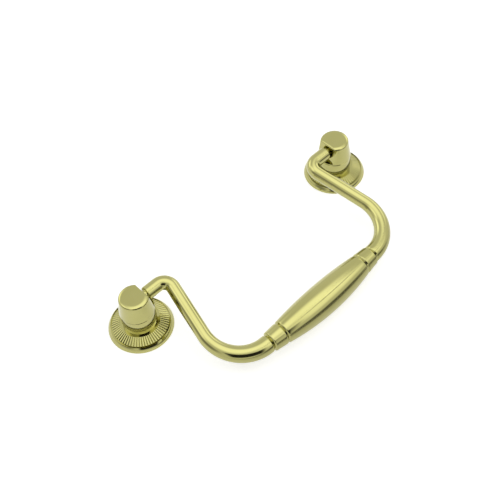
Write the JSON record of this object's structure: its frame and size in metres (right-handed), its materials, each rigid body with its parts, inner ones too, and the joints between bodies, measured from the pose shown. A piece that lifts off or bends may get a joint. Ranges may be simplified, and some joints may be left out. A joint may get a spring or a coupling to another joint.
{
  "type": "box handle",
  "caption": "Swinging bail handle with a swelled grip, pivoting on two turned posts that stand on fluted round rosettes, fixed by screws from behind a panel.",
  "frame": {"origin": "halfway between the two fixing screws, on the panel's face", "axes": "+X from the left post to the right post, +Z out of the panel, the bail lies on the -Y side"},
  "size_m": [0.1188, 0.0568, 0.0174],
  "materials": {
    "polished_brass": "polished"
  },
  "bodies": {
    "base": {"post_left": "polished_brass", "post_right": "polished_brass", "rosette_left": "polished_brass", "rosette_right": "polished_brass"},
    "bail": {"bail": "polished_brass"}
  },
  "joints": [
    {"name": "bail_swing", "type": "hinge", "parent": "base", "child": "bail", "pos_m": [0, 0, 0.01395], "axis": [-1, 0, 0], "range_deg": [0, 203]}
  ]
}
